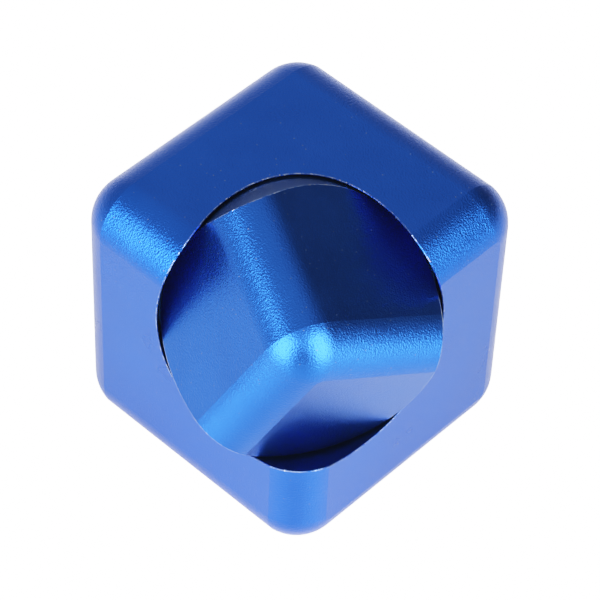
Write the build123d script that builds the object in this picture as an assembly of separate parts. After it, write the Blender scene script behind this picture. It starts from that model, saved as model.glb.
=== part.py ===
from build123d import *

import os

# A metal fidget cube. Two opposite corners of the cube are cut free as caps.
# Each cap spins about the cube's body diagonal on its own sealed ball bearing,
# and one axle through a thin web in the middle of the cube carries both bearings.
# Millimetres, +Z up, origin at the centre of the cube, on the spin axis.
# The near corner is at +X -Y +Z. The far corner is at -X +Y -Z.

# cube
EDGE = 25.0  # flat face to flat face
ROUND_R = 3.86  # radius of the cutter that rounds the outlines of the two X faces
CREASE = 0.046  # how far that cutter stood off, so that its arc meets the flats at a crease
BAR_R = ROUND_R - CREASE  # radius of the bar's own edges, along X, which blend smoothly
BORE_R = 11.0  # the two pockets that the caps turn in
WEB_HALF = 1.0  # half the thickness of the web between the pockets
WEB_HOLE_R = 3.2
RIM_BREAK = 0.1  # chamfer on the sharp rims of the pockets
BEYOND = 1.0  # how far a cutter runs past what it cuts
REACH = 30.0  # clear of the cube's corners
NEAR_ENOUGH = 0.001  # tells one radius from another

# caps
CAP_R = 10.75
CAP_LOW = 1.3  # inner face of a cap, from the cube's centre
CAP_BREAK = 0.05  # chamfer on a cap's own sharp rim
NEAR_TURN = -35.2  # how far the near cap stands turned from flush, in degrees
RELIEF_R = 5.2  # room for the axle's head inside a cap
RELIEF_TOP = 8.3

# bearing, R188 size: 1/4 x 1/2 x 3/16 inch with ten 1/16 inch balls
BEARING_BORE_R = 3.175
BEARING_R = 6.35
BEARING_LOW = 1.8
BEARING_HIGH = BEARING_LOW + 4.762
BEARING_MID = (BEARING_LOW + BEARING_HIGH) / 2
BALL_R = 0.794
BALL_COUNT = 10
PITCH_R = 4.7625
GROOVE_R = 0.84
INNER_LAND_R = 4.1
OUTER_LAND_R = 5.45
POCKET_R = BEARING_R + 0.01  # bearing seat in a cap
BORE_CHAMFER = 0.2
RACE_CHAMFER = 0.25

# shields, each held in the outer race by a snap ring
SHIELD_T = 0.2
SHIELD_R = 5.75
SHIELD_BORE_R = 4.22
SHIELD_LIP = 0.15  # width of the rolled lip at its bore
SHIELD_DEPTH = 0.65  # seat of the shield, below the face of the race
SEAT_R = 5.78
RING_R = 5.93
RING_BORE_R = 5.5
RING_T = 0.28
RING_DEPTH = 0.44  # underside of the snap ring, below the face of the race
RING_GAP = 2.2
RING_PLAY = 0.02  # all round the ring in its groove

# ball cage, a crown open towards the corner
CAGE_R = 5.06
CAGE_BORE_R = 4.46
CAGE_BELOW = 1.1
CAGE_ABOVE = 0.55
CAGE_POCKET_R = 0.87

# axle
POST_R = 3.15
POST_END = -6.5
HEAD_R = 4.0
HEAD_T = 1.2
HEAD_TOP = BEARING_HIGH + HEAD_T
HEAD_CHAMFER = 0.2
TAP_R = 2.03
TAP_TOP = 3.0
SCREW_R = 2.0
SCREW_END = -1.44
SOCKET_DEPTH = 1.6
POST_SOCKET = 3.0  # across flats
SCREW_SOCKET = 2.5  # across flats
WASHER_R = 4.0
WASHER_BORE_R = 3.2


def corner(sign):
    """Place of a frame whose Z runs out to the near corner (+1) or the far one (-1)."""
    return Plane(origin=(0, 0, 0), x_dir=(1, 1, 0), z_dir=(sign, -sign, sign)).location


def rod(radius, low, high):
    """A round bar along Z."""
    return Pos(0, 0, (low + high) / 2) * Cylinder(radius, high - low)


def tube(radius, bore, low, high):
    """A round tube along Z."""
    return rod(radius, low, high) - rod(bore, low - BEYOND, high + BEYOND)


def circles(shape, radius):
    """The round edges of one radius."""
    round_edges = shape.edges().filter_by(GeomType.CIRCLE)
    return round_edges.filter_by(lambda e: abs(e.radius - radius) < NEAR_ENOUGH)


def off_axis(point):
    """How far a point is from the spin axis."""
    along = Vector(1, -1, 1).normalized()
    return (point - along * point.dot(along)).length


def rim(shape, radius):
    """The wavy edges where a pocket or a cap meets the outside of the cube."""
    wavy = shape.edges().filter_by(lambda e: e.geom_type not in (GeomType.LINE, GeomType.CIRCLE))
    return [e for e in wavy if all(abs(off_axis(e @ u) - radius) < NEAR_ENOUGH for u in (0, 0.5, 1))]


def whole_cube():
    """The cube before the corners are cut free: a smoothly rounded bar along X, rounded again at both ends."""
    bar = Box(EDGE, EDGE, EDGE)
    bar = fillet(bar.edges().filter_by(Axis.X), BAR_R)
    side = EDGE + 2 * CREASE
    return bar & fillet(Box(side, side, side).edges(), ROUND_R)


def outer_cube():
    """The cube with a round pocket at each end of the diagonal and a web between them."""
    body = whole_cube()
    for sign in (1, -1):
        body -= corner(sign) * rod(BORE_R, WEB_HALF, REACH)
    body = chamfer(rim(body, BORE_R), RIM_BREAK)
    return body - corner(1) * rod(WEB_HOLE_R, -WEB_HALF - BEYOND, WEB_HALF + BEYOND)


def corner_cap():
    """The near corner of the cube, flush with it, bored for its bearing and the axle's head."""
    body = whole_cube() & (corner(1) * rod(CAP_R, CAP_LOW, REACH))
    body = chamfer(rim(body, CAP_R), CAP_BREAK)
    body -= corner(1) * rod(POCKET_R, CAP_LOW - BEYOND, BEARING_HIGH)
    return body - corner(1) * rod(RELIEF_R, BEARING_HIGH - BEYOND, RELIEF_TOP)


def inner_race():
    """Inner race of a bearing, along Z."""
    body = tube(INNER_LAND_R, BEARING_BORE_R, BEARING_LOW, BEARING_HIGH)
    body -= Pos(0, 0, BEARING_MID) * Torus(PITCH_R, GROOVE_R)
    return chamfer(circles(body, BEARING_BORE_R), BORE_CHAMFER)


def outer_race():
    """Outer race of a bearing, along Z, with a seat and a ring groove for a shield at each end."""
    body = tube(BEARING_R, OUTER_LAND_R, BEARING_LOW, BEARING_HIGH)
    body -= Pos(0, 0, BEARING_MID) * Torus(PITCH_R, GROOVE_R)
    half = (BEARING_HIGH - BEARING_LOW) / 2
    for sign in (1, -1):
        end = Pos(0, 0, BEARING_MID) * Rot(90 - 90 * sign, 0, 0)
        body -= end * rod(SEAT_R, half - SHIELD_DEPTH, half + BEYOND)
        ring_low = half - RING_DEPTH
        body -= end * rod(RING_R + RING_PLAY, ring_low - RING_PLAY, ring_low + RING_T + RING_PLAY)
    return chamfer(circles(body, BEARING_R), RACE_CHAMFER)


def shield():
    """A thin shield with a rolled inner lip, at the corner end of a bearing."""
    low = BEARING_HIGH - SHIELD_DEPTH
    body = tube(SHIELD_R, SHIELD_BORE_R, low, low + SHIELD_T)
    return body + tube(SHIELD_BORE_R + SHIELD_LIP, SHIELD_BORE_R, low, low + 2 * SHIELD_T)


def snap_ring():
    """The open ring that holds a shield, at the corner end of a bearing."""
    low = BEARING_HIGH - RING_DEPTH
    body = tube(RING_R, RING_BORE_R, low, low + RING_T)
    return body - Pos(RING_R, 0, low + RING_T / 2) * Box(2 * RING_BORE_R, RING_GAP, 2 * RING_T)


def other_end(shape):
    """The same piece at the other end of its bearing."""
    return Pos(0, 0, 2 * BEARING_MID) * Rot(180, 0, 0) * shape


def at_ball(number, shape):
    """A shape made at the centre, moved to a ball's place, with X pointing away from the axis."""
    return Rot(0, 0, number * 360 / BALL_COUNT) * Pos(PITCH_R, 0, BEARING_MID) * shape


def cage():
    """Crown cage with one snap-in pocket for each ball."""
    body = tube(CAGE_R, CAGE_BORE_R, BEARING_MID - CAGE_BELOW, BEARING_MID + CAGE_ABOVE)
    drill = Rot(0, 90, 0) * Cylinder(CAGE_POCKET_R, 2 * BEYOND)
    for number in range(BALL_COUNT):
        body -= at_ball(number, drill)
    return body


def socket(flats, top):
    """A hexagon socket sunk from a face along Z."""
    outline = RegularPolygon(flats / 2, 6, major_radius=False)
    return Pos(0, 0, top - SOCKET_DEPTH) * extrude(outline, SOCKET_DEPTH + BEYOND)


def axle_head():
    """The round head that the post and the screw share, outside a bearing."""
    head = rod(HEAD_R, BEARING_HIGH, HEAD_TOP)
    return chamfer(circles(head, HEAD_R).sort_by(Axis.Z)[-1:], HEAD_CHAMFER)


def axle_post():
    """Barrel through the web, the washers and both bearings, with a head at the near end."""
    body = rod(POST_R, POST_END, BEARING_HIGH) + axle_head()
    body -= rod(TAP_R, POST_END - BEYOND, TAP_TOP)
    return body - socket(POST_SOCKET, HEAD_TOP)


def axle_screw():
    """Screw into the far end of the post, in the far corner's frame."""
    return rod(SCREW_R, SCREW_END, BEARING_HIGH) + axle_head() - socket(SCREW_SOCKET, HEAD_TOP)


def washer():
    """Spacer between the web and an inner race."""
    return tube(WASHER_R, WASHER_BORE_R, WEB_HALF, BEARING_LOW)


def write(name, shape):
    """One file for one piece."""
    solids = shape.solids()
    assert len(solids) == 1, name
    export_step(solids[0], f"parts/{name}.step")


def main():
    os.makedirs("parts", exist_ok=True)
    spin_axis = Axis((0, 0, 0), (1, -1, 1))
    flush_cap = corner_cap()
    write("outer_cube", outer_cube())
    write("near_corner_cap", flush_cap.rotate(spin_axis, NEAR_TURN))
    write("far_corner_cap", flush_cap.rotate(Axis((0, 0, 0), (0, 1, 1)), 180))
    write("axle_post", corner(1) * axle_post())
    write("axle_screw", corner(-1) * axle_screw())
    for end, sign in (("near", 1), ("far", -1)):
        place = corner(sign)
        write(f"{end}_washer", place * washer())
        write(f"{end}_inner_race", place * inner_race())
        write(f"{end}_outer_race", place * outer_race())
        write(f"{end}_outer_shield", place * shield())
        write(f"{end}_inner_shield", place * other_end(shield()))
        write(f"{end}_outer_snap_ring", place * snap_ring())
        write(f"{end}_inner_snap_ring", place * other_end(snap_ring()))
        write(f"{end}_cage", place * cage())
        for number in range(BALL_COUNT):
            write(f"{end}_ball_{number + 1:02d}", place * at_ball(number, Sphere(BALL_R)))


main()
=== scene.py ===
from math import cos, pi, radians, sin

import bpy
from mathutils import Matrix, Vector


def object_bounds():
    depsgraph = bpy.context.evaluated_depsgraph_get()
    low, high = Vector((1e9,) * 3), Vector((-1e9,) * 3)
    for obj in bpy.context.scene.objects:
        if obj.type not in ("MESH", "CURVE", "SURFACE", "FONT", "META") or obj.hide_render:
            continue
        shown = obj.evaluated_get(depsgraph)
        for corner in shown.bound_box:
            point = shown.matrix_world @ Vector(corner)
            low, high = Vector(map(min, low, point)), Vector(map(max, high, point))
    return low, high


MM = 0.001

# The cube's centre is the origin, and both caps turn about this diagonal.
DIAGONAL = Vector((1, -1, 1)).normalized()
BORE_R = 11.0 * MM
CAP_R = 10.75 * MM
RIM_BREAK = 0.1 * MM
CAP_BREAK = 0.05 * MM
SKIN = 0.013 * MM  # a little more than the model's facets stray from true curves

# the blasted surface
GRAIN = 0.14 * MM  # its dimples
GRAIN_HEIGHT = 0.032 * MM
GRAIN_TURN = (0.5, 0.7, 0.3)  # keeps the grain's lattice off the cube's faces and diagonal
CLOUD = 5 * MM  # a slow change in colour and gloss
ROUGHNESS = (0.27, 0.31)

# wear on the rims of the cut, and dust
WEAR = 0.5 * MM
CHIP = 0.35 * MM
DUST_CELL = 0.5 * MM  # one speck at most in each
SPECK_R = 0.045 * MM
CLEAN_SHARE = 0.7  # of the cells

# colours: each pair is the two ends of the slow change
CUBE_BLUE = ((0.0070, 0.050, 0.302, 1), (0.0082, 0.055, 0.325, 1))
CAP_BLUE = ((0.0080, 0.051, 0.285, 1), (0.0092, 0.056, 0.305, 1))
TURNED_BLUE = ((0.008, 0.050, 0.205, 1), (0.009, 0.055, 0.225, 1))
CUBE_GLANCING = (0.79, 0.79, 0.79, 1)
CAP_GLANCING = (0.77, 0.785, 0.72, 1)
THIN_BLUE = (0.14, 0.21, 0.42, 1)
BARE = (0.30, 0.34, 0.45, 1)
DUST = (0.012, 0.025, 0.06, 1)

# camera, as a direction from the cube's centre
AZIMUTH = radians(42.19)
ELEVATION = radians(47.95)
ROLL = radians(2.46)
DISTANCE = 244.1 * MM
OFF_CENTRE = (-0.244 * MM, 0.244 * MM)  # how far the cube stands right and up of the view's middle
LENS = 184.3
CLIP = (0.01, 20)

# light, in radiance: the table and the room behind it look white to the camera
WHITE = 3.2
ROOM_LIGHT = 5.0
ROOM_BY_HEIGHT = [(0.0, 0.40), (0.3, 0.20), (0.7, 0.22), (0.9, 0.30)]
DARK_SIDE = [(0.55, 1.0), (0.88, 0.15)]
FRONT_GLOW = [(0.82, 0.0), (0.98, 0.5)]
LAMP_DISTANCE = 0.6

# tone: radiance against what is shown
FLARE = 0.0026
SHOULDER = [(0.25, 0.245), (0.5, 0.425), (1.0, 0.665), (1.7, 0.85), (2.4, 0.945)]

# table
TABLE_HALF = 3.0
TABLE_GAP = 0.02 * MM
TABLE_GREY = (0.70, 0.70, 0.70, 1)

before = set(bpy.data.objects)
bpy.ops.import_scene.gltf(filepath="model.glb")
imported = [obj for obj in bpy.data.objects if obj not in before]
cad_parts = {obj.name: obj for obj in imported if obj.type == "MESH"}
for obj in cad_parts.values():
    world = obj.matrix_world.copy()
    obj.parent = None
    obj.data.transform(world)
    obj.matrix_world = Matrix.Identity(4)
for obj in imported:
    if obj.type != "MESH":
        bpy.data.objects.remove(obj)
cad_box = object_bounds()
scene = bpy.context.scene


# ---- camera, light and floor ----

def direction(azimuth, elevation):
    """From the cube towards a place at that azimuth and elevation, the camera's being 42 and 48 degrees."""
    flat = Vector((sin(azimuth), -cos(azimuth), 0)) * cos(elevation)
    return flat + Vector((0, 0, sin(elevation)))


def beside_camera(right, elevation):
    """A direction given by its azimuth to the right of the camera, and its elevation, in degrees."""
    return direction(AZIMUTH + radians(right), radians(elevation))


def facing(back, roll=0.0):
    """Rotation of a camera or lamp that looks along -back."""
    right = Vector((0, 0, 1)).cross(back).normalized()
    up = back.cross(right)
    turned_right = right * cos(roll) + up * sin(roll)
    turned_up = up * cos(roll) - right * sin(roll)
    return Matrix((turned_right, turned_up, back)).transposed()


def add_camera():
    turn = facing(direction(AZIMUTH, ELEVATION), ROLL)
    data = bpy.data.cameras.new("camera")
    data.lens = LENS
    data.clip_start, data.clip_end = CLIP
    camera = bpy.data.objects.new("camera", data)
    place = turn @ Vector((-OFF_CENTRE[0], -OFF_CENTRE[1], DISTANCE))
    camera.matrix_world = Matrix.Translation(place) @ turn.to_4x4()
    scene.collection.objects.link(camera)
    scene.camera = camera


def add_softbox(name, back, width, height, brightness, colour):
    """A rectangular soft light in a direction from the cube."""
    data = bpy.data.lights.new(name, "AREA")
    data.color = colour
    data.shape = "RECTANGLE"
    data.size = width
    data.size_y = height
    data.energy = brightness * width * height * pi
    lamp = bpy.data.objects.new(name, data)
    lamp.matrix_world = Matrix.Translation(back * LAMP_DISTANCE) @ facing(back).to_4x4()
    scene.collection.objects.link(lamp)


def add_softboxes():
    """The right one is a little warmer."""
    left = beside_camera(right=-46.5, elevation=20)
    add_softbox("left_softbox", left, width=0.47, height=0.62, brightness=26.5, colour=(1, 1, 1))
    right = beside_camera(right=47.3, elevation=27)
    add_softbox("right_softbox", right, width=0.44, height=0.68, brightness=26.0, colour=(1.02, 1.0, 0.93))


def add_world():
    """The dim studio around the two softboxes: darker to the far right, with a glow around the camera."""
    world = bpy.data.worlds.new("studio")
    world.use_nodes = True
    tree = world.node_tree
    tree.nodes.clear()
    put = Nodes(tree)
    where = put("TexCoord").outputs["Generated"]
    height = put("SeparateXYZ", Vector=where).outputs["Z"]
    room = put.ramp(height, ROOM_BY_HEIGHT)
    dark_side = put.towards(where, beside_camera(right=115, elevation=20))
    dimmed = put.math("MULTIPLY", room, put.ramp(dark_side, DARK_SIDE))
    front = put.towards(where, beside_camera(right=5, elevation=50))
    bright = put.math("ADD", dimmed, put.ramp(front, FRONT_GLOW))
    lit = put("Background", Color=(1, 1, 1, 1), Strength=put.math("MULTIPLY", bright, ROOM_LIGHT))
    seen = put("Background", Color=(1, 1, 1, 1), Strength=WHITE)
    put("OutputWorld", Surface=put.white_to_camera(lit, seen))
    scene.world = world


def add_floor():
    """A pale satin table, a hair below the cube's base so that the two never share a plane."""
    z = cad_box[0].z - TABLE_GAP
    mesh = bpy.data.meshes.new("floor")
    corners = [(-1, -1), (1, -1), (1, 1), (-1, 1)]
    mesh.from_pydata([(x * TABLE_HALF, y * TABLE_HALF, z) for x, y in corners], [], [(0, 1, 2, 3)])
    floor = bpy.data.objects.new("floor", mesh)
    scene.collection.objects.link(floor)
    material, put = new_material("table_white")
    satin = put("BsdfPrincipled", Roughness=0.3)
    satin.inputs["Specular IOR Level"].default_value = 1.0
    satin.inputs["Base Color"].default_value = TABLE_GREY
    seen = put("Emission", Color=(1, 1, 1, 1), Strength=WHITE)
    put("OutputMaterial", Surface=put.white_to_camera(satin, seen))
    mesh.materials.append(material)


def roll_off_highlights():
    """A slight flare, then a soft shoulder: radiance is kept up to about 0.3 and eased towards white."""
    view = scene.view_settings
    view.view_transform = "Standard"
    view.use_curve_mapping = True
    mapping = view.curve_mapping
    mapping.clip_max_x = WHITE
    all_channels = mapping.curves[3]
    all_channels.points[0].location = (0.0, FLARE)
    all_channels.points[1].location = (WHITE, 1.0)
    for radiance, shown in SHOULDER:
        all_channels.points.new(radiance, shown)
    for point in all_channels.points:
        point.handle_type = "AUTO_CLAMPED"
    mapping.update()


# ---- shader nodes ----

class Nodes:
    """Adds nodes to one tree. A value that is a socket is linked, and any other is set."""

    def __init__(self, tree):
        self.tree = tree

    def __call__(self, kind, inputs=(), operation=None, **named):
        node = self.tree.nodes.new("ShaderNode" + kind)
        if operation:
            node.operation = operation
        for key, value in [*enumerate(inputs), *named.items()]:
            self.feed(node.inputs[key], value)
        return node

    def feed(self, socket, value):
        if isinstance(value, bpy.types.NodeSocket):
            self.tree.links.new(value, socket)
        else:
            socket.default_value = value

    def ramp(self, value, stops):
        """A grey ramp, read as a number."""
        node = self("ValToRGB", Fac=value)
        band = node.color_ramp
        while len(band.elements) < len(stops):
            band.elements.new(0.5)
        for element, (place, grey) in zip(band.elements, stops):
            element.position = place
            element.color = (grey, grey, grey, 1)
        return node.outputs["Color"]

    def towards(self, vector, aim):
        """How nearly a direction points at aim, 1 when it does."""
        return self("VectorMath", operation="DOT_PRODUCT", inputs=[vector, aim]).outputs["Value"]

    def math(self, operation, *inputs):
        return self("Math", operation=operation, inputs=inputs).outputs[0]

    def within(self, value, low, high):
        """1 where a value lies between two others."""
        above = self.math("GREATER_THAN", value, low)
        return self.math("MULTIPLY", above, self.math("LESS_THAN", value, high))

    def mix_colour(self, share, first, second):
        """A Mix node keeps its colour sockets at places 6 and 7, and gives colours out at place 2."""
        node = self.tree.nodes.new("ShaderNodeMix")
        node.data_type = "RGBA"
        for place, value in ((0, share), (6, first), (7, second)):
            self.feed(node.inputs[place], value)
        return node.outputs[2]

    def mix_number(self, share, first, second):
        """A Mix node keeps its number sockets at places 2 and 3, and gives numbers out at place 0."""
        node = self.tree.nodes.new("ShaderNodeMix")
        for place, value in ((0, share), (2, first), (3, second)):
            self.feed(node.inputs[place], value)
        return node.outputs[0]

    def white_to_camera(self, lit, seen):
        """One shader for light that bounces, and another for what the camera sees directly."""
        to_camera = self("LightPath").outputs["Is Camera Ray"]
        return self("MixShader", inputs=[to_camera, lit.outputs[0], seen.outputs[0]]).outputs[0]


def new_material(name):
    material = bpy.data.materials.new(name)
    material.use_nodes = True
    material.node_tree.nodes.clear()
    return material, Nodes(material.node_tree)


def on_piece(put):
    """A point's own coordinates, fixed to its piece."""
    return put("TexCoord").outputs["Object"]


def noise(put, size, detail, at=None):
    """Noise from 0 to 1 whose grains are about that size."""
    return put("TexNoise", Vector=at or on_piece(put), Scale=1 / size, Detail=detail).outputs["Fac"]


def from_axis(put):
    """How far a point is from the spin axis, in metres."""
    across = put("VectorMath", operation="CROSS_PRODUCT", inputs=[on_piece(put), DIAGONAL])
    return put("VectorMath", operation="LENGTH", inputs=[across.outputs[0]]).outputs["Value"]


# ---- anodised aluminium ----

def dust(put):
    """1 in a sparse scatter of fine specks."""
    specks = put("TexVoronoi", Vector=on_piece(put), Scale=1 / DUST_CELL)
    small = put.math("LESS_THAN", specks.outputs["Distance"], SPECK_R / DUST_CELL)
    chance = put("SeparateColor", Color=specks.outputs["Color"]).outputs["Red"]
    return put.math("MULTIPLY", small, put.math("GREATER_THAN", chance, CLEAN_SHARE))


def worn(put, blue):
    """The film where it is thin, with chips down to bare metal."""
    thin = put.ramp(noise(put, WEAR, 4), [(0.4, 0.0), (0.6, 1.0)])
    chips = put.ramp(noise(put, CHIP, 4), [(0.58, 0.0), (0.63, 1.0)])
    return put.mix_colour(chips, put.mix_colour(thin, blue, THIN_BLUE), BARE)


def blasted(put):
    """Normals of the fine dimpled grain."""
    askew = put("Mapping", Vector=on_piece(put), Rotation=GRAIN_TURN).outputs[0]
    grain = noise(put, GRAIN, 1.5, askew)
    return put("Bump", Strength=1.0, Distance=GRAIN_HEIGHT, Height=grain).outputs[0]


def anodised(name, blue, glancing, rim, outside):
    """Blue film on blasted metal, worn between the rim's two distances from the spin axis.

    outside compares that distance with a limit: where it fails, the metal was turned and is darker.
    """
    material, put = new_material(name)
    cloudy = put.ramp(noise(put, CLOUD, 3), [(0.3, 0.0), (0.7, 1.0)])
    reach = from_axis(put)
    turned = put.mix_colour(cloudy, *TURNED_BLUE)
    film = put.mix_colour(put.math(outside[0], reach, outside[1]), turned, put.mix_colour(cloudy, *blue))
    film = put.mix_colour(put.within(reach, *rim), film, worn(put, film))
    specks = dust(put)
    bare_of_dust = put.math("SUBTRACT", 1, specks)
    rough = put.mix_number(cloudy, *ROUGHNESS)
    metal = put("BsdfPrincipled", Metallic=bare_of_dust, Roughness=rough, Normal=blasted(put))
    metal.inputs["Specular Tint"].default_value = glancing
    put.feed(metal.inputs["Base Color"], put.mix_colour(specks, film, DUST))
    put("OutputMaterial", Surface=metal.outputs[0])
    return material


def cube_film():
    wall = BORE_R + SKIN
    rim = (wall, BORE_R + RIM_BREAK)
    return anodised("anodised_cube", CUBE_BLUE, CUBE_GLANCING, rim, ("GREATER_THAN", wall))


def cap_film():
    side = CAP_R - SKIN
    rim = (CAP_R - CAP_BREAK, side)
    return anodised("anodised_cap", CAP_BLUE, CAP_GLANCING, rim, ("LESS_THAN", side))


# ---- steel ----

def steel(name, dark, light, ring, roughness):
    """Turned steel, with fine rings about the spin axis and a little variation."""
    material, put = new_material(name)
    along_radius = put("CombineXYZ", X=from_axis(put)).outputs[0]
    rings = noise(put, ring, 3.0, along_radius)
    tone = put.mix_colour(noise(put, 1.5 * MM, 3), dark, light)
    rough = put.mix_number(rings, roughness * 0.8, roughness * 1.3)
    bump = put("Bump", Strength=0.6, Distance=0.002 * MM, Height=rings)
    metal = put("BsdfPrincipled", Metallic=1.0, Roughness=rough, Normal=bump.outputs[0])
    put.feed(metal.inputs["Base Color"], tone)
    put("OutputMaterial", Surface=metal.outputs[0])
    return material


def axle_steel():
    return steel("axle_turned", (0.42, 0.42, 0.43, 1), (0.55, 0.55, 0.56, 1), 0.06 * MM, 0.32)


def race_steel():
    return steel("race_ground", (0.55, 0.55, 0.57, 1), (0.62, 0.62, 0.64, 1), 0.03 * MM, 0.15)


def shield_steel():
    return steel("shield_pressed", (0.48, 0.47, 0.45, 1), (0.58, 0.57, 0.55, 1), 0.1 * MM, 0.35)


def cage_steel():
    return steel("cage_pressed", (0.46, 0.43, 0.36, 1), (0.55, 0.52, 0.45, 1), 0.1 * MM, 0.4)


def ball_steel():
    return steel("ball_polished", (0.64, 0.64, 0.66, 1), (0.68, 0.68, 0.70, 1), 0.05 * MM, 0.06)


def paint_all():
    """Each piece takes the first material whose word is in its name. The rest belong to the axle."""
    axle = axle_steel()
    shield = shield_steel()
    by_word = {
        "outer_cube": cube_film(),
        "corner_cap": cap_film(),
        "race": race_steel(),
        "shield": shield,
        "snap_ring": shield,
        "cage": cage_steel(),
        "ball": ball_steel(),
    }
    for node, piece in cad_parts.items():
        found = [material for word, material in by_word.items() if word in node]
        slots = piece.data.materials
        slots.clear()
        slots.append(found[0] if found else axle)


roll_off_highlights()
add_world()
add_softboxes()
add_floor()
paint_all()
add_camera()
